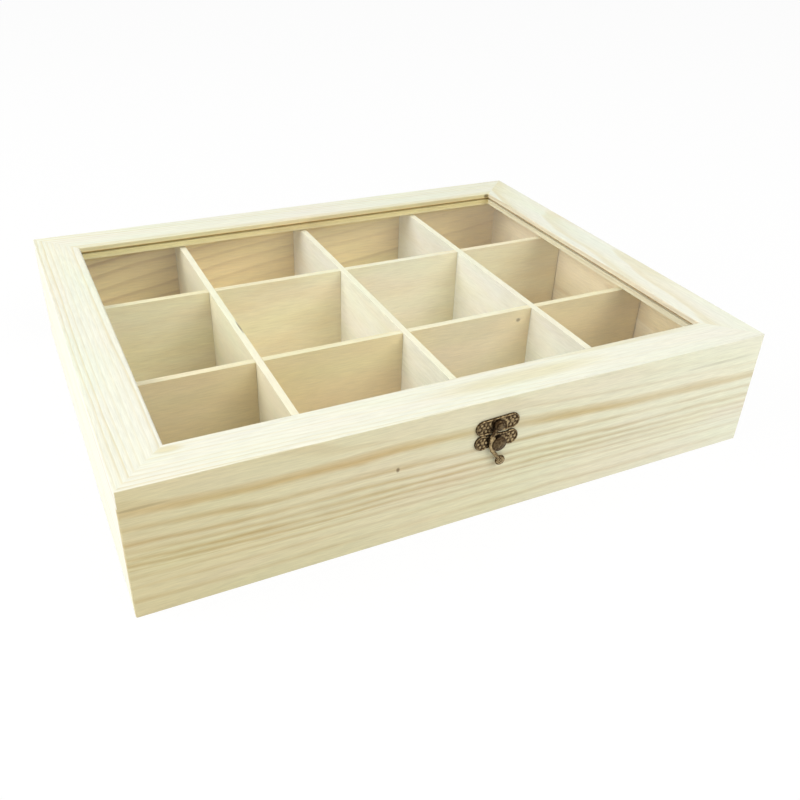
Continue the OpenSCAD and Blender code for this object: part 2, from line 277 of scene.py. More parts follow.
def ring_profile(tree, count):
    """Share of latewood in a running count of years: each darkens slowly and ends sharply."""
    ring = add_node(tree, "Math", {0: count}, "FLOOR")
    share = add_node(tree, "Math", {0: count}, "FRACT")
    year = [(0.0, 0.0), (0.35, 0.05), (0.62, 0.32), (0.82, 0.95), (0.93, 0.8), (1.0, 0.0)]
    band = add_node(tree, "ValToRGB", {"Fac": share}, ramp=year)
    chance = add_node(tree, "TexWhiteNoise", {"W": ring}, noise_dimensions="1D")
    force = add_node(tree, "MapRange", {"Value": chance, "To Min": 0.25, "To Max": 1.0})
    return add_node(tree, "Math", {0: band, 1: force}, "MULTIPLY")


def growth_rings(tree, space, pith, slope, spacing, wander):
    """Share of latewood from rings round a pith line, so faces, edges and ends agree."""
    warp = stretched_noise(tree, space, (0.006, 0.03, 0.03), detail=3.0).outputs["Color"]
    centred = add_node(tree, "VectorMath", {0: warp, 1: (0.5,) * 3}, "SUBTRACT")
    swing = add_node(tree, "VectorMath", {0: centred, 1: (0, wander, wander)}, "MULTIPLY")
    bent = add_node(tree, "VectorMath", {0: space, 1: swing}, "ADD")
    parts = add_node(tree, "SeparateXYZ", {0: bent}).outputs
    radial = []
    for axis in (0, 1):
        drift = add_node(
            tree, "Math", {0: parts["X"], 1: slope[axis], 2: -pith[axis]}, "MULTIPLY_ADD"
        )
        radial.append(add_node(tree, "Math", {0: parts[axis + 1], 1: drift}, "ADD"))
    flat = add_node(tree, "CombineXYZ", {"Y": radial[0], "Z": radial[1]})
    reach = add_node(tree, "VectorMath", {0: flat}, "LENGTH")
    count = add_node(tree, "Math", {0: reach, 1: spacing}, "DIVIDE")
    return ring_profile(tree, count)


def marked(tree, colour, marks):
    """Lays marks over a colour: each has a place and a reach in mm, a colour and a force."""
    space = board_space(tree)
    for place, reach, look, force in marks:
        offset = add_node(tree, "VectorMath", {0: space, 1: place}, "SUBTRACT")
        scaled = add_node(tree, "VectorMath", {0: offset, 1: reach}, "DIVIDE")
        far = add_node(tree, "VectorMath", {0: scaled}, "LENGTH")
        share = add_node(
            tree, "MapRange", {"Value": far, "From Min": 1.2, "From Max": 0.5, "To Max": force}
        )
        colour = add_node(tree, "Mix", {0: share, 6: colour, 7: look}, data_type="RGBA")
    return colour


def finish_wood(tree, shader, space, grain, settings, marks=(), mottle=0.05, bump=0.25):
    """Colours the grain, lays fibre and mottling over it, and gives the sanded surface its feel.

    The grain is the spring wood's colour, the summer wood's colour and the summer wood's share.
    """
    early, late, share = grain
    # Real fibre is too fine to show, so its bundles have the width that the settings give.
    fine = MM / settings.fibre_width
    fibre = stretched_noise(tree, space, (0.06 * fine, fine, fine), detail=3.0, roughness=0.6)
    patches = stretched_noise(tree, space, (0.012, 0.05, 0.05)).outputs["Color"]
    ground = add_node(tree, "Mix", {0: share, 6: early, 7: late}, data_type="RGBA")
    ground = marked(tree, ground, marks)
    streak = add_node(
        tree,
        "MapRange",
        {"Value": fibre, "From Min": 0.3, "From Max": 0.7, "To Min": 0.91, "To Max": 1.06},
    )
    # The noise's three channels differ, so the patches lean to pink, green or yellow.
    tint = add_node(
        tree, "VectorMath", {0: patches, 1: [2 * mottle] * 3, 2: [1 - mottle] * 3}, "MULTIPLY_ADD"
    )
    tinted = add_node(tree, "VectorMath", {0: ground, 1: tint}, "MULTIPLY")
    colour = add_node(tree, "VectorMath", {0: tinted, "Scale": streak}, "SCALE")
    height = add_node(tree, "Math", {0: share, 1: 0.5, 2: fibre}, "MULTIPLY_ADD")
    normal = add_node(tree, "Bump", {"Height": height, "Strength": bump, "Distance": 0.1 * MM})
    rough = add_node(tree, "MapRange", {"Value": share, "To Min": 0.68, "To Max": 0.52})
    looks = {"Base Color": colour, "Normal": normal, "Roughness": rough, "IOR": 1.45}
    feed(tree, shader, looks)


def pine_material(name, settings, along, shift, pith, slope, spacing, fade, early, late):
    """Pine, planed and sanded, left bare: matt, with tan summer wood that may fade to the right."""
    made, tree, shader = new_material(name)
    space = board_space(tree, along, shift)
    rings = growth_rings(tree, space, pith, slope, spacing / MM, 9.0)
    share = fading(tree, rings, fade)
    finish_wood(tree, shader, space, (early, late, share), settings)
    return made


def front_run(tree):
    """How far along the front a point is, from 0 at its left end to 1 at its right."""
    low, high = CAD_BOX
    across = add_node(tree, "SeparateXYZ", {0: board_space(tree)}).outputs["X"]
    return add_node(
        tree, "MapRange", {"Value": across, "From Min": low.x / MM, "From Max": high.x / MM}
    )


def fading(tree, share, right):
    """Weakens the grain from its full force at the left to a share of it at the right."""
    run = front_run(tree)
    force = add_node(tree, "MapRange", {"Value": run, "To Min": 1.0, "To Max": right})
    return add_node(tree, "Math", {0: share, 1: force}, "MULTIPLY")


def normal_up(tree):
    """How far a face looks up: 1 where it lies face up, 0 where it is upright."""
    normal = add_node(tree, "NewGeometry").outputs["Normal"]
    return add_node(tree, "SeparateXYZ", {0: normal}).outputs["Z"]


def facing_up(tree):
    """1 on faces that look up, and 0 on upright ones."""
    return add_node(tree, "MapRange", {"Value": normal_up(tree), "From Min": 0.3, "From Max": 0.9})


def frame_material(name, settings, along, shift, pith, slope, fade, edge, marks):
    """Pine moulding, sanded smooth: close straight grain on top, and the top painted paler and
    greyer than the warmer edges, as lit from above.
    """
    made, tree, shader = new_material(name)
    space = board_space(tree, along, shift)
    rings = growth_rings(tree, space, pith, slope, settings.frame_ring_spacing / MM, 7.0)
    # The floor of the groove looks up too, but only the outer face was sanded, and only it takes
    # the paler colours painted for the light from above.
    height = add_node(tree, "SeparateXYZ", {0: board_space(tree)}).outputs["Z"]
    outer = add_node(
        tree, "MapRange", {"Value": height, "From Min": SANDED_LIT_FROM, "From Max": SANDED_LIT_FROM + 1.0}
    )
    sanded = add_node(tree, "Math", {0: facing_up(tree), 1: outer}, "MULTIPLY")
    shown = add_node(tree, "MapRange", {"Value": sanded, "To Min": 0.35, "To Max": 1.0})
    share = add_node(tree, "Math", {0: rings, 1: shown}, "MULTIPLY")
    share = fading(tree, share, fade)
    left, right = edge
    edge = add_node(tree, "Mix", {0: front_run(tree), 6: left, 7: right}, data_type="RGBA")
    early = add_node(
        tree, "Mix", {0: sanded, 6: edge, 7: settings.lit_frame_earlywood}, data_type="RGBA"
    )
    late = add_node(
        tree, "Mix", {0: sanded, 6: settings.latewood, 7: settings.frame_latewood}, data_type="RGBA"
    )
    finish_wood(tree, shader, space, (early, late, share), settings, marks)
    return made


def front_pine_material(settings):
    """The show board, flat-sawn pine: one broad tan band falls to the right above finer lines."""
    made, tree, shader = new_material("Pine, flat-sawn front board")
    space = board_space(tree)
    low, high = CAD_BOX
    height = (high.z - low.z) / MM
    parts = add_node(tree, "SeparateXYZ", {0: space}).outputs
    run = front_run(tree)
    depth = add_node(tree, "Math", {0: height, 1: parts["Z"]}, "SUBTRACT")

    # Lines near the top fall by up to 13 mm over the board, and those near the bottom by 4 mm.
    full_fall = 14.0
    usual_fall = 10.2
    falls = [(0.0, 0.0), (0.083, 0.21), (0.147, 0.32), (0.21, 0.38), (0.34, 0.41)]
    falls += [(0.41, 0.47), (0.577, 0.58), (0.705, 0.73), (0.9, 0.88), (1.0, 0.95)]
    dip = add_node(tree, "FloatCurve", {"Value": run}, curve=falls)
    start = add_node(tree, "Math", {0: dip, 1: -usual_fall, 2: depth}, "MULTIPLY_ADD")
    start = add_node(tree, "Math", {0: start, 1: 1 / height}, "MULTIPLY")
    pulls = [(0.0, 0.95), (0.29, 0.95), (0.4, 0.82), (0.57, 0.77), (0.64, 0.4)]
    pulls += [(0.9, 0.3), (1.0, 0.3)]
    pull = add_node(tree, "FloatCurve", {"Value": start}, curve=pulls)
    fallen = add_node(tree, "Math", {0: dip, 1: pull}, "MULTIPLY")
    fallen = add_node(tree, "Math", {0: fallen, 1: full_fall}, "MULTIPLY")

    # The lines in the upper half also arch, by up to 3.7 mm.
    lifts = [(0.0, 0.0), (0.15, 0.6), (0.28, 0.6), (0.4, 1.0), (0.6, 0.6), (0.75, 0.35)]
    lifts += [(0.9, 0.0), (1.0, 0.0)]
    lift = add_node(tree, "FloatCurve", {"Value": run}, curve=lifts)
    near = add_node(
        tree,
        "MapRange",
        {"Value": depth, "From Min": 17.0, "From Max": 26.0, "To Min": 3.7, "To Max": 0.0},
    )
    raised = add_node(tree, "Math", {0: lift, 1: near, 2: depth}, "MULTIPLY_ADD")
    level = add_node(tree, "Math", {0: raised, 1: fallen}, "SUBTRACT")

    # They waver by up to 2 mm, and lean through the board, as its ends show.
    waver = 2.0
    lean = 0.6
    ripple = stretched_noise(tree, space, (0.02, 0.05, 0.1), detail=4.0, roughness=0.6)
    ripple = add_node(tree, "Math", {0: ripple, 1: 2 * waver, 2: -waver}, "MULTIPLY_ADD")
    level = add_node(tree, "Math", {0: level, 1: ripple}, "ADD")
    level = add_node(tree, "Math", {0: parts["Y"], 1: lean, 2: level}, "MULTIPLY_ADD")
    level = add_node(tree, "Math", {0: level, 1: -lean * FRONT_FACE}, "ADD")
    place = add_node(tree, "Math", {0: level, 1: 1 / height}, "MULTIPLY")

    # The band and the lines by their depth in mm at the left end. A line has a reach and a force.
    band = [(0, 0), (8.4, 0), (9.8, 0.5), (11.2, 0.7), (12.6, 1.0), (13.8, 0.8), (15.6, 0)]
    lines = [(4.2, 1.2, 0.3), (20.6, 1.9, 0.7), (28.0, 1.9, 0.75), (32.6, 1.7, 0.65)]
    lines += [(36.6, 1.7, 0.75), (40.3, 1.6, 0.68), (46.8, 1.5, 0.4), (53.0, 1.6, 0.35)]
    lines += [(60.7, 1.8, 0.45)]
    stops = [(0.0, 0.0)]
    for middle, reach, strength in lines:
        stops += [(middle - 1.3 * reach, 0.0), (middle, strength), (middle + reach, 0.0)]
    broad, thin = (
        add_node(tree, "ValToRGB", {"Fac": place}, ramp=[(at / height, s) for at, s in table])
        for table in (band + [(height, 0)], stops + [(height, 0)])
    )
    years = add_node(tree, "Math", {0: level, 1: settings.fine_ring_spacing / MM}, "DIVIDE")
    crowds = [(0.0, 0.0), (0.26, 0.1), (0.4, 0.3), (0.64, 0.4), (0.74, 0.15), (1.0, 0.1)]
    crowd = add_node(tree, "ValToRGB", {"Fac": place}, ramp=crowds)
    fine = add_node(tree, "Math", {0: ring_profile(tree, years), 1: crowd}, "MULTIPLY")
    thin = add_node(tree, "Math", {0: thin, 1: fine}, "MAXIMUM")

    # Both come and go along the board, and the lines grow paler to the right.
    forces = [(0.0, 0.65), (0.24, 1.0), (0.45, 0.8), (0.52, 0.6), (0.63, 0.9), (0.8, 0.65)]
    forces += [(1.0, 0.6)]
    strong = add_node(tree, "FloatCurve", {"Value": run}, curve=forces)
    broad = add_node(tree, "Math", {0: broad, 1: strong}, "MULTIPLY")
    fade = stretched_noise(tree, space, (0.014, 0.08, 0.12), detail=3.0)
    force = add_node(
        tree,
        "MapRange",
        {"Value": fade, "From Min": 0.3, "From Max": 0.7, "To Min": 0.4, "To Max": 1.3},
    )
    paler = add_node(
        tree, "MapRange", {"Value": run, "From Min": 0.3, "To Min": 1.0, "To Max": 0.6}
    )
    share = add_node(tree, "Math", {0: thin, 1: force}, "MULTIPLY")
    share = add_node(tree, "Math", {0: share, 1: paler}, "MULTIPLY")
    # Painted light: the spring wood pales from the left end to the right, where the front is more
    # lit.
    early = add_node(
        tree, "Mix", {0: run, 6: settings.earlywood, 7: settings.lit_right_end}, data_type="RGBA"
    )
    early = add_node(tree, "Mix", {0: broad, 6: early, 7: settings.resin_wood}, data_type="RGBA")
    marks = [
        ((-49.5, FRONT_FACE, 43.4), (1.0, 2.0, 1.4), settings.knot, 0.8),
        ((-168.0, FRONT_FACE, 59.4), (14.0, 3.0, 0.7), settings.knot, 0.3),
        ((146.0, FRONT_FACE, 58.3), (26.0, 3.0, 0.9), settings.knot, 0.2),
    ]
    finish_wood(tree, shader, space, (early, settings.latewood, share), settings, marks)
    return made


def basswood_material(name, settings, along, shift, early, late, top, marks=()):
    """Basswood, sawn thin and sanded: even and creamy, with faint long veins, and its tops in a
    colour of their own, painted for the light from above.
    """
    made, tree, shader = new_material(name)
    space = board_space(tree, along, shift)
    vein = stretched_noise(tree, space, (0.016, 0.1, 0.06), detail=4.0, roughness=0.6)
    share = add_node(
        tree, "MapRange", {"Value": vein, "From Min": 0.42, "From Max": 0.75, "To Max": 0.7}
    )
    ground = add_node(tree, "Mix", {0: facing_up(tree), 6: early, 7: top}, data_type="RGBA")
    grain = (ground, late, share)
    finish_wood(tree, shader, space, grain, settings, marks, mottle=0.06, bump=0.15)
    return made


def glass_material():
    """Float glass, polished: clear with a faint reflection, and lamps light the boxes below."""
    made, tree, shader = new_material("Float glass")
    tint = linear("#fbfcf9")
    looks = {"Base Color": tint, "Transmission Weight": 1.0, "Roughness": 0.0, "IOR": 1.14}
    feed(tree, shader, looks)
    clear = add_node(tree, "BsdfTransparent", {"Color": linear("#fdfefc")})
    path = add_node(tree, "LightPath").outputs
    passing = add_node(
        tree, "Math", {0: path["Is Shadow Ray"], 1: path["Is Diffuse Ray"]}, "MAXIMUM"
    )
    # The ground edges stand against the groove, so the wood behind them shows.
    upright = add_node(tree, "Math", {0: normal_up(tree)}, "ABSOLUTE")
    ground = add_node(tree, "Math", {0: upright, 1: 0.5}, "LESS_THAN")
    passing = add_node(tree, "Math", {0: passing, 1: ground}, "MAXIMUM")
    mix_in(tree, passing, shader, clear)
    return made


def brass_material(name, settings, relief_rub, patchy_rub, bias, patina=None):
    """Antique brass, stamped and oxidised: brown in the hollows, bright where hands rubbed it."""
    made, tree, shader = new_material(name)
    place = add_node(tree, "TexCoord").outputs["Object"]
    rubbed = add_node(tree, "Attribute", attribute_name="rubbed").outputs["Fac"]
    blotch = add_node(tree, "TexNoise", {"Vector": place, "Scale": 900.0, "Detail": 3.0})
    pits = add_node(tree, "TexNoise", {"Vector": place, "Scale": 3500.0, "Detail": 2.0})
    uneven = add_node(
        tree, "Math", {0: blotch, 1: patchy_rub, 2: bias - patchy_rub / 2}, "MULTIPLY_ADD"
    )
    worn = add_node(tree, "Math", {0: rubbed, 1: relief_rub, 2: uneven}, "MULTIPLY_ADD")
    share = add_node(tree, "MapRange", {"Value": worn, "From Min": 0.1, "From Max": 0.9})
    colour = add_node(
        tree, "Mix", {0: share, 6: patina or settings.patina, 7: settings.brass}, data_type="RGBA"
    )
    rough = add_node(tree, "MapRange", {"Value": share, "To Min": 0.5, "To Max": 0.28})
    normal = add_node(tree, "Bump", {"Height": pits, "Strength": 0.2, "Distance": 0.05 * MM})
    looks = {"Base Color": colour, "Roughness": rough, "Normal": normal, "Metallic": 1.0}
    feed(tree, shader, looks)
    return made


def paper_material(colour):
    """Seamless studio paper: matt, seen as white, with the shadow of the box left on it."""
    made, tree, shader = new_material("Studio paper")
    feed(tree, shader, {"Base Color": colour, "Roughness": 0.9})
    glow = add_node(tree, "Emission", {"Color": (1, 1, 1), "Strength": 1.0})
    share = add_node(tree, "Math", {0: seen_by_eye(tree), 1: 0.94}, "MULTIPLY")
    mix_in(tree, share, shader, glow)
    return made


def dress(names, material, softness=None):
    """Gives CAD nodes their finish, and breaks their edges with modifiers."""
    for name in names:
        node = NODES[name]
        node.data.materials.clear()
        node.data.materials.append(material)
        if softness:
            weld = node.modifiers.new("Join corners", "WELD")
            weld.merge_threshold = 0.001 * MM
            bevel = node.modifiers.new("Broken edges", "BEVEL")
            bevel.width = softness
            bevel.segments = 2
            bevel.limit_method = "ANGLE"
            bevel.angle_limit = math.radians(40)
            bevel.harden_normals = True


def add_object(name, data):
    """Adds an object with this data to the scene."""
    added = bpy.data.objects.new(name, data)
    bpy.context.scene.collection.objects.link(added)
    return added


# ---- Metal pieces ----


class ClaspPlan:
    """Sizes of the clasp in mm, from its origin: X right, Y up from the seam, Z out of the wall."""

    origin = Vector((3.5, FRONT_FACE, 51.0))
    plate = 0.8
    ear_r = 4.2
    ear_x = 8.0
    ear_y = 4.5
    hook_bar = 4.2
    catch_bar = 3.6
    pivot = (0.0, 4.6)
    tilt = math.radians(3)
    rim_w = 0.8
    rim_h = 0.35
    relief_h = 0.3
    petal_r = 2.3
    petal_w = 0.75
    leaf_x = 5.4
    leaf_fade = 2.5
    rim_fade = 0.3
    boss_r = 2.4
    hook_back = 1.9
    hook_front = 2.9
    hook_roll = 0.45
    dimple_h = 0.2
    dimple_top = -8.5
    dimple_fade = 2.0
    dimple_rim = 0.6
    rub_top = 2.0
    rub_fade = 4.0
    play = 0.15
    eye_r = 2.7
    rivet_neck = 1.0
    rivet_r = 1.9
    rivet_h = 0.7
    stud = (0.4, -5.6)
    stud_neck = 2.2
    stud_r = 4.0
    stud_h = 1.0
    catch_r = 5.0
    arm = 1.0
    bow_out = 5.4
    bow_in = 2.6
    bow_cut = 0.6
    tail = (2.3, -16.3)
    tail_r = 2.7
    dome_r = 2.2
    dome_h = 0.45
    nail_neck = 0.6
    nail_r = 1.3
    nail_h = 0.6


def in_world(point):
    """Takes a point from the clasp's frame to metres in the box's frame."""
    x, y, z = point
    o = ClaspPlan.origin
    return Vector(((o.x + x) * MM, (o.y - z) * MM, (o.z + y) * MM))


def tilted(x, y, turn):
    """Turns a point of the clasp's frame about the hook's pivot."""
    px, py = ClaspPlan.pivot
    dx, dy = x - px, y - py
    return (
        px + dx * math.cos(turn) - dy * math.sin(turn),
        py + dx * math.sin(turn) + dy * math.cos(turn),
    )


def disc(x, y, centre, radius):
    """Distance inside a disc, negative outside it."""
    return radius - math.hypot(x - centre[0], y - centre[1])


def strap(x, y, start, end, radius):
    """Distance inside a bar with round ends."""
    run = (end[0] - start[0], end[1] - start[1])
    t = ((x - start[0]) * run[0] + (y - start[1]) * run[1]) / (run[0] ** 2 + run[1] ** 2)
    t = min(1.0, max(0.0, t))
    return radius - math.hypot(x - start[0] - t * run[0], y - start[1] - t * run[1])


def plate_outline(x, y, centre_y, half, middle, middle_r):
    """Distance inside a plate: round ears on a bar of that half height, with a round middle."""
    c = ClaspPlan
    bar = min(c.ear_x - abs(x), half - abs(y - centre_y))
    ears = max(disc(x, y, (side * c.ear_x, centre_y), c.ear_r) for side in (-1, 1))
    return max(bar, ears, disc(x, y, middle, middle_r))


def bead(distance, width, height):
    """Half-round bead that runs along an edge."""
    if distance >= width:
        return 0.0
    t = 2 * distance / width - 1
    return height * math.sqrt(max(0.0, 1 - t * t))


def plate_relief(x, y, distance, centre_y, middle):
    """Height and rub of a plate's face: a beaded rim, petals round the nails and a leaf scroll."""
    c = ClaspPlan
    petals, leaves, twist = 6, 5, 2.4
    rim = bead(distance, c.rim_w, c.rim_h)
    rise = 0.0
    for side in (-1, 1):
        dx = x - side * c.ear_x
        dy = y - centre_y
        reach = math.hypot(dx, dy)
        if reach < c.ear_r - c.rim_w:
            petal = 0.5 + 0.5 * math.cos(petals * math.atan2(dy, dx))
            swell = math.exp(-(((reach - c.petal_r) / c.petal_w) ** 2))
            rise = max(rise, c.relief_h * swell * petal)
    dx = x - middle[0]
    dy = y - middle[1]
    reach = math.hypot(dx, dy)
    if reach > c.boss_r and abs(x) < c.leaf_x and distance > c.rim_w:
        scroll = 0.5 + 0.5 * math.cos(leaves * math.atan2(dy, dx) + twist * reach)
        clear = min(1.0, (reach - c.boss_r) / c.leaf_fade)
        rise = max(rise, c.relief_h * clear * scroll**2)
    if distance > c.rim_w:
        rise *= min(1.0, (distance - c.rim_w) / c.rim_fade)
    height = c.plate + max(rim, rise)
    return height, min(1.0, max(0.5 * rim / c.rim_h, rise / c.relief_h))


def hook_outline(x, y):
    """Distance inside the hook: its eye, its arm, the bow round the stud and the thumb tail."""
    c = ClaspPlan
    bend = (c.stud[0] - c.bow_out + c.arm, c.stud[1] + c.bow_out - c.arm)
    # The bow is the lower left part of a ring, cut off at a slant under the stud.
    sx, sy = x - c.stud[0], y - c.stud[1]
    ring = min(c.bow_out - math.hypot(sx, sy), math.hypot(sx, sy) - c.bow_in)
    side = (2 * sx - sy) / -math.sqrt(5) if sy < 0 else -sx
    ring = min(ring, -sy if sx > -c.bow_in else ring, side + c.bow_cut)
    foot = (c.stud[0] - c.bow_out + 2 * c.arm, c.stud[1] - c.bow_out + 2 * c.arm)
    return max(
        disc(x, y, c.pivot, c.eye_r),
        strap(x, y, (-c.arm, c.pivot[1] - c.arm), bend, c.arm),
        strap(x, y, bend, (bend[0], c.stud[1]), c.arm),
        ring,
        strap(x, y, foot, c.tail, c.arm),
        disc(x, y, c.tail, c.tail_r),
    )


def hook_relief(x, y, inside):
    """Height and rub of the hook's face: rounded edges, punched dimples and a domed thumb tail."""
    c = ClaspPlan
    height = c.hook_front
    if inside < c.hook_roll:
        height -= c.hook_roll - math.sqrt(c.hook_roll**2 - (c.hook_roll - inside) ** 2)
    # The dimples stand 1.5 mm apart on the lower arm and the tail, dark at the bottom.
    beat = 4.2  # radians for each mm
    dimple = 0.5 - 0.5 * math.cos(beat * x) * math.cos(beat * y)
    dimple *= min(1.0, max(0.0, (c.dimple_top - y) / c.dimple_fade))
    within = min(1.0, inside / c.dimple_rim)
    height -= c.dimple_h * dimple * within
    reach = math.hypot(x - c.tail[0], y - c.tail[1])
    if reach < c.dome_r:
        height += c.dome_h * math.cos(0.5 * math.pi * reach / c.dome_r)
    handled = min(1.0, max(0.1, (c.rub_top - y) / c.rub_fade)) * (1.0 - 0.75 * dimple)
    return height, handled * (0.5 + 0.5 * within)


def stamp(name, outline, relief, back, span, cell, turn=None):
    """Closed sheet where outline is positive, with relief on its face and a flat back."""
    (x0, y0), (x1, y1) = span
    across = round((x1 - x0) / cell)
    up = round((y1 - y0) / cell)
    tiny = 0.01  # the step in mm that measures how the outline slopes
    made = bmesh.new()
    rub = made.verts.layers.float.new("rubbed")
    front, rear = {}, {}
    for i in range(across + 1):
        for j in range(up + 1):
            x = x0 + i * cell
            y = y0 + j * cell
            inside = outline(x, y)
            if inside < -0.5 * cell:
                continue
            if inside < 0.5 * cell:
                gx = (outline(x + tiny, y) - outline(x - tiny, y)) / (2 * tiny)
                gy = (outline(x, y + tiny) - outline(x, y - tiny)) / (2 * tiny)
                steep = max(gx * gx + gy * gy, 0.25)
                x -= inside * gx / steep
                y -= inside * gy / steep
                inside = 0.0
            height, worn = relief(x, y, inside)
            if turn:
                x, y = tilted(x, y, turn)
            front[i, j] = made.verts.new(in_world((x, y, height)))
            front[i, j][rub] = worn
            rear[i, j] = made.verts.new(in_world((x, y, back)))
    for i in range(across):
        for j in range(up):
            corners = [(i, j), (i + 1, j), (i + 1, j + 1), (i, j + 1)]
            held = [k for k in corners if k in front]
            if len(held) >= 3:
                made.faces.new([front[k] for k in held])
                made.faces.new([rear[k] for k in reversed(held)])
    twin = {front[k]: rear[k] for k in front}
    for edge in [e for e in made.edges if len(e.link_faces) == 1 and e.verts[0] in twin]:
        loop = edge.link_loops[0]
        a, b = loop.vert, loop.link_loop_next.vert
        made.faces.new([b, a, twin[a], twin[b]])
    loose = [v for v in made.verts if not v.link_faces]
    bmesh.ops.delete(made, geom=loose, context="VERTS")
    return solid(name, made)


def turned(name, centre, profile, sides=40):
    """Turned solid that stands out from the wall. profile lists (radius, height, rubbed)."""
    made = bmesh.new()
    rub = made.verts.layers.float.new("rubbed")
    angles = [2 * math.pi * k / sides for k in range(sides)]
    x, y = centre
    rings = []
    for radius, height, worn in profile:
        if radius == 0:
            ring = [made.verts.new(in_world((x, y, height)))] * sides
        else:
            around = [
                (x + radius * math.cos(angle), y + radius * math.sin(angle), height)
                for angle in angles
            ]
            ring = [made.verts.new(in_world(point)) for point in around]
        for vert in ring:
            vert[rub] = worn
        rings.append(ring)
    for low, high in zip(rings, rings[1:]):
        for k in range(sides):
            n = (k + 1) % sides
            corners = []
            for vert in (low[k], low[n], high[n], high[k]):
                if vert not in corners:
                    corners.append(vert)
            made.faces.new(corners)
    return solid(name, made)


def solid(name, made):
    """Turns a bmesh into an object that shades smooth between sharp corners."""
    bmesh.ops.recalc_face_normals(made, faces=made.faces)
    for face in made.faces:
        face.smooth = True
    mesh = bpy.data.meshes.new(name)
    made.to_mesh(mesh)
    made.free()
    mesh.set_sharp_from_angle(angle=math.radians(50))
    return add_object(name, mesh)


def domed_profile(foot, radius, base, height, steps=8, edge=0.15):
    """Profile of a domed head: its closed foot, its flat underside, a small edge and its crown."""
    neck, low = foot
    profile = [(0, low, 0.0), (neck, low, 0.0), (neck, base, 0.2), (radius, base, 0.3)]
    ball = (radius**2 + (height - edge) ** 2) / (2 * (height - edge))
    top = base + height
    reach = math.asin(min(1.0, radius / ball))
    for k in range(steps):
        angle = reach * (1 - k / steps)
        level = top - ball * (1 - math.cos(angle))
        profile.append((ball * math.sin(angle), level, 0.35 + 0.5 * k / steps))
    profile.append((0, top, 0.9))
    return profile


def join(name, pieces):
    """Makes one object of the pieces of one fitting."""
    bpy.ops.object.select_all(action="DESELECT")
    for piece in pieces:
        piece.select_set(True)
    bpy.context.view_layer.objects.active = pieces[0]
    bpy.ops.object.join()
    pieces[0].name = name
    return pieces[0]


def settle(piece, body, nodes, material):
    """Finishes a metal piece: its material, its body and the CAD nodes it stands for."""
    piece.data.materials.clear()
    piece.data.materials.append(material)
    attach(piece, body)
    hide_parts(*nodes)


# ---- Operators ----


class TEABOX_OT_stage(bpy.types.Operator):
    """Sets the floor, the lamps, the white surroundings and the camera"""

    bl_idname = "teabox.stage"
    bl_label = "Stage"

    def execute(self, context):
        settings = context.scene.teabox_stage
        half = settings.floor_size / 2
        corners = [(-half, -half), (half, -half), (half, half), (-half, half)]
        mesh = bpy.data.meshes.new("studio_floor")
        mesh.from_pydata([(x, y, -0.1 * MM) for x, y in corners], [], [(0, 1, 2, 3)])
        mesh.materials.append(paper_material(settings.floor_colour))
        add_object("studio_floor", mesh)

        world = bpy.data.worlds.new("White studio")
        context.scene.world = world
        world.use_nodes = True
        tree = world.node_tree
        tree.nodes.clear()
        seen = seen_by_eye(tree)
        strength = add_node(tree, "MapRange", {"Value": seen, "To Min": 0.38, "To Max": 1.0})
        sky = add_node(tree, "Background", {"Color": (1, 1, 1), "Strength": strength})
        add_node(tree, "OutputWorld", {"Surface": sky})

        lamps = (
            ("Window on the left", (-1.25, 0.1, 0.85), 1.0, 14.0, "#fffefc"),
            ("Overhead softbox", (0.1, 0.1, 1.5), 1.3, 3.6, "#ffffff"),
            ("Front fill", (0.75, -1.1, 1.2), 1.2, 15.0, "#fffefb"),
        )
        middle = Vector((0, 0, 0.03))
        for name, place, size, power, colour in lamps:
            lamp = bpy.data.lights.new(name, "AREA")
            lamp.shape = "SQUARE"
            lamp.size = size
            lamp.energy = power
            lamp.color = linear(colour)[:3]
            holder = add_object(name, lamp)
            holder.location = place
            aim = middle - Vector(place)
            holder.rotation_euler = aim.to_track_quat("-Z", "Y").to_euler()

        lens = bpy.data.cameras.new("Camera")
        lens.lens = settings.lens_mm
        lens.sensor_width = 36.0
        lens.clip_start = 0.01
        camera = add_object("Camera", lens)
        camera.location = settings.camera_place
        camera.rotation_euler = settings.camera_turn
        context.scene.camera = camera
        context.scene.view_settings.view_transform = "Standard"
        return {"FINISHED"}


class TEABOX_OT_walls(bpy.types.Operator):
    """Dresses the walls of the base and the rim of the lid, sawn from the same pine boards"""

    bl_idname = "teabox.walls"
    bl_label = "Walls"

    def execute(self, context):
        wood = context.scene.teabox_wood
        rear = (wood.rear_ring_spacing, 0.2, wood.rear_earlywood, wood.rear_latewood)
        # The left wall's pale spring wood is painted light from the left.
        left = (wood.ring_spacing, 1.0, wood.lit_side_earlywood, wood.frame_latewood)
        right = (wood.ring_spacing, 1.0, wood.right_earlywood, wood.right_latewood)
        # Each has its grain's direction, the shift and the pith of its rings in mm, and a slope.
        walls = (
            ("back", "x", (0, 0, 0), (165, -150), (0.0, -0.14), rear),
            ("left", "y", (700, 0, 0), (260, -35), (0.01, 0.03), left),
            ("right", "y", (-900, 0, 0), (-290, -60), (0.02, 0.12), right),
        )
        boards = {"front": front_pine_material(wood)}
        for side, along, shift, pith, slope, looks in walls:
            name = f"Pine, {side} board"
            boards[side] = pine_material(name, wood, along, shift, pith, slope, *looks)
        for side, material in boards.items():
            dress((side + "_board", "lid_rim_" + side), material, wood.edge_softness)
        return {"FINISHED"}


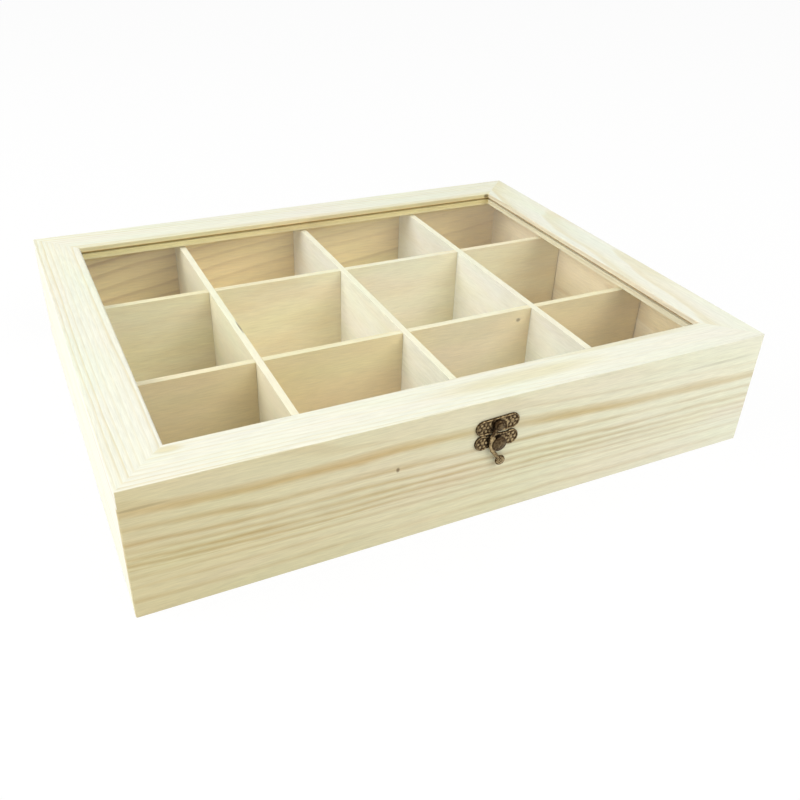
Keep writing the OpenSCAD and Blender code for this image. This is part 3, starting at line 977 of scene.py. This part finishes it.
class TEABOX_OT_lid_frame(bpy.types.Operator):
    """Dresses the four mitred members of the lid frame, each with its own run of grain"""

    bl_idname = "teabox.lid_frame"
    bl_label = "Lid Frame"

    def execute(self, context):
        wood = context.scene.teabox_wood
        # The front member's edges pale to the right as painted light, like the front board.
        show = (wood.earlywood, wood.lit_right_end)
        # The left member's edges take the left wall's pale colour, painted light from the left.
        pale = (wood.lit_side_earlywood, wood.lit_side_earlywood)
        gold = (wood.lip_back, wood.lip_back)
        cream = (wood.lip_right, wood.lip_right)
        # Painted shadow along the glass under the lip, warm streaks in the sanded faces, and a gap
        # at a mitre.
        streak = wood.frame_latewood
        marks = {
            "front": [
                ((0.0, -115.0, 66.3), (NO_END, 1.5, 0.7), wood.groove_shadow, 1.0),
                ((-149.0, -119.5, 70.0), (7.0, 2.5, 3.0), streak, 0.9),
                ((22.0, -126.0, 70.0), (50.0, 6.0, 3.0), streak, 0.75),
                ((100.0, -116.5, 70.0), (50.0, 3.0, 3.0), streak, 0.6),
            ],
            "back": [
                ((0.0, 115.0, 66.3), (NO_END, 1.5, 0.7), wood.groove_shadow, 1.0),
                ((0.0, 116.5, 70.0), (NO_END, 3.0, 3.0), streak, 0.6),
                ((148.0, 115.0, 68.2), (2.4, 1.0, 1.6), wood.knot, 0.8),
            ],
            "left": [((-150.0, 0.0, 66.3), (1.5, NO_END, 0.7), wood.groove_shadow, 1.0)],
            "right": [((150.0, 0.0, 66.3), (1.5, NO_END, 0.7), wood.groove_shadow, 1.0)],
        }
        # As for the walls, then the share of the grain left at the right, and the edges.
        members = (
            ("front", "x", (0, 0, 0), (-420, 20), (0.03, 0.0), 0.2, show),
            ("back", "x", (500, 0, 0), (460, 10), (0.015, 0.0), 1.0, gold),
            ("left", "y", (0, 0, 30), (480, 0), (-0.01, 0.0), 1.0, pale),
            ("right", "y", (300, 0, 60), (-172, 30), (0.01, 0.03), 1.0, cream),
        )
        for side, *looks in members:
            material = frame_material("Pine, lid frame " + side, wood, *looks, marks[side])
            dress(("lid_frame_" + side,), material, wood.edge_softness)
        return {"FINISHED"}


class TEABOX_OT_dividers(bpy.types.Operator):
    """Dresses the notched dividers and the bottom panel"""

    bl_idname = "teabox.dividers"
    bl_label = "Dividers and Bottom"

    def execute(self, context):
        wood = context.scene.teabox_wood
        # Painted light and shade: the long dividers take the shaded colours, the short ones the lit
        # colours.
        front_row = (wood.front_row_basswood, wood.shaded_row_vein, wood.row_top)
        back_row = (wood.shaded_row_basswood, wood.shaded_row_vein, wood.row_top)
        left_column = (wood.left_column_basswood, wood.lit_column_vein, wood.column_top)
        column = (wood.lit_column_basswood, wood.lit_column_vein, wood.column_top)
        bottom = (wood.bottom_basswood, wood.lit_column_vein, wood.bottom_basswood)
        pale = wood.lit_column_basswood
        marks = {
            "row_divider_front": [
                ((40.0, -45.0, 35.0), (45.0, 6.0, 60.0), pale, 0.3),
                ((74.9, -47.3, 52.9), (1.6, 3.0, 1.3), wood.knot, 0.65),
            ],
            "row_divider_back": [((40.0, 45.0, 35.0), (45.0, 6.0, 60.0), pale, 0.4)],
            "column_divider_left": [((-83.9, -6.5, 59.5), (0.5, 8.0, 0.6), wood.knot, 0.85)],
        }
        boards = (
            ("row_divider_front", "x", front_row),
            ("row_divider_back", "x", back_row),
            ("bottom_panel", "x", bottom),
            ("column_divider_left", "y", left_column),
            ("column_divider_middle", "y", column),
            ("column_divider_right", "y", column),
        )
        for count, (name, along, colours) in enumerate(boards):
            shift = (137.0 * count, 0, 53.0 * count)
            label = "Basswood, " + name.replace("_", " ")
            spots = marks.get(name, ())
            material = basswood_material(label, wood, along, shift, *colours, spots)
            dress((name,), material, wood.edge_softness)
        return {"FINISHED"}


class TEABOX_OT_glass(bpy.types.Operator):
    """Dresses the pane in the lid"""

    bl_idname = "teabox.glass"
    bl_label = "Glass"

    def execute(self, context):
        dress(("glass_pane",), glass_material())
        return {"FINISHED"}


class TEABOX_OT_hinges(bpy.types.Operator):
    """Dresses the two stop hinges with their pins and screws"""

    bl_idname = "teabox.hinges"
    bl_label = "Hinges"

    def execute(self, context):
        metal = context.scene.teabox_metal
        leaf = brass_material("Antique brass, hinge leaf", metal, 0.0, 1.6, 0.4)
        screw = brass_material(
            "Antique brass, hinge screw", metal, 0.0, 0.8, 0.5, patina=metal.screw_patina
        )
        dress(HINGE_LEAVES, leaf, metal.bevel)
        dress(HINGE_FASTENERS, screw)
        return {"FINISHED"}


class TEABOX_OT_clasp(bpy.types.Operator):
    """Builds the clasp: two stamped plates, the hook, its rivet, the catch stud and four nails"""

    bl_idname = "teabox.clasp"
    bl_label = "Clasp"

    def execute(self, context):
        metal = context.scene.teabox_metal
        c = ClaspPlan
        cell = metal.stamp_cell / MM
        plates = brass_material("Antique brass, stamped plate", metal, 0.8, 1.8, 0.0)
        light = brass_material("Antique brass, rubbed hook", metal, 0.7, 1.7, 0.0)
        dark = brass_material("Antique brass, catch stud", metal, 0.3, 0.8, 0.0)

        hook_middle = (c.ear_y, c.hook_bar, c.pivot, c.boss_r)
        catch_middle = (-c.ear_y, c.catch_bar, c.stud, c.catch_r)
        for name, node, body, (y, half, middle, middle_r), turn in (
            ("hook_plate_stamped", "clasp_hook_plate", "lid", hook_middle, c.tilt),
            ("catch_plate_stamped", "clasp_catch_plate", "base", catch_middle, None),
        ):
            margin = 0.4
            reach = c.ear_x + c.ear_r + margin
            low = min(y - c.ear_r, middle[1] - middle_r) - margin
            high = max(y + c.ear_r, middle[1] + middle_r) + margin

            def outline(px, py):
                return plate_outline(px, py, y, half, middle, middle_r)

            def relief(px, py, inside):
                return plate_relief(px, py, inside, y, middle)

            plate = stamp(name, outline, relief, 0.0, ((-reach, low), (reach, high)), cell, turn)
            if node == "clasp_hook_plate":
                top = c.hook_back - c.play
                nick = 0.1
                collar = [(0, c.plate, 0), (c.boss_r, c.plate, 0), (c.boss_r, top - nick, 0.1)]
                collar += [(c.boss_r - nick, top, 0.1), (0, top, 0.1)]
                boss = turned("boss", c.pivot, collar)
                plate = join(name, [plate, boss])
            settle(plate, body, (node,), plates)

        span = ((-6, -20), (6, 8))
        hook = stamp("swing_hook", hook_outline, hook_relief, c.hook_back, span, cell)
        settle(hook, "clasp_hook", ("clasp_hook",), light)

        base = c.hook_front + c.play
        profile = domed_profile((c.rivet_neck, 0.0), c.rivet_r, base, c.rivet_h)
        rivet = turned("hook_rivet", c.pivot, profile)
        settle(rivet, "lid", ("clasp_rivet",), dark)

        profile = domed_profile((c.stud_neck, c.plate), c.stud_r, base, c.stud_h)
        stud = turned("catch_stud", c.stud, profile)
        settle(stud, "base", ("clasp_catch_stud",), dark)

        for name, node, body, y, turn in (
            ("hook_plate_nails", "clasp_plate_nails", "lid", c.ear_y, c.tilt),
            ("catch_plate_nails", "clasp_catch_nails", "base", -c.ear_y, None),
        ):
            profile = domed_profile((c.nail_neck, 0.0), c.nail_r, c.plate, c.nail_h, edge=0.1)
            heads = []
            for side in (-1, 1):
                place = (side * c.ear_x, y)
                if turn:
                    place = tilted(*place, turn)
                heads.append(turned(name, place, profile, sides=24))
            settle(join(name, heads), body, (node,), light)
        return {"FINISHED"}


class TEABOX_PT_panel(bpy.types.Panel):
    """Lists the pieces of the box and their settings"""

    bl_idname = "TEABOX_PT_panel"
    bl_label = "Tea Box"
    bl_space_type = "VIEW_3D"
    bl_region_type = "UI"
    bl_category = "Tea Box"

    def draw(self, context):
        scene = context.scene
        groups = (
            (scene.teabox_stage, STAGE_OPERATORS),
            (scene.teabox_wood, WOOD_OPERATORS),
            (scene.teabox_metal, METAL_OPERATORS),
        )
        for settings, operators in groups:
            part = self.layout.box()
            for name in settings.bl_rna.properties.keys():
                if name not in ("rna_type", "name"):
                    part.prop(settings, name)
            for operator in operators:
                part.operator(operator.bl_idname)


STAGE_OPERATORS = (TEABOX_OT_stage,)
WOOD_OPERATORS = (TEABOX_OT_walls, TEABOX_OT_lid_frame, TEABOX_OT_dividers, TEABOX_OT_glass)
METAL_OPERATORS = (TEABOX_OT_hinges, TEABOX_OT_clasp)
SETTINGS = {
    "teabox_stage": TeaBoxStageSettings,
    "teabox_wood": TeaBoxWoodSettings,
    "teabox_metal": TeaBoxMetalSettings,
}
OPERATORS = STAGE_OPERATORS + WOOD_OPERATORS + METAL_OPERATORS
CLASSES = (*SETTINGS.values(), *OPERATORS, TEABOX_PT_panel)


def register():
    """Registers the classes and hangs the settings on the scene."""
    for made in CLASSES:
        bpy.utils.register_class(made)
    for name, group in SETTINGS.items():
        setattr(bpy.types.Scene, name, bpy.props.PointerProperty(type=group))


def unregister():
    """Takes the settings and the classes away again."""
    for name in SETTINGS:
        delattr(bpy.types.Scene, name)
    for made in reversed(CLASSES):
        bpy.utils.unregister_class(made)


def main():
    """Builds the looks of the box in order."""
    register()
    for operator in OPERATORS:
        call = getattr(bpy.ops.teabox, operator.bl_idname.split(".")[1])
        if call() != {"FINISHED"}:
            raise RuntimeError(operator.bl_label + " did not finish")


if __name__ == "__main__":
    main()
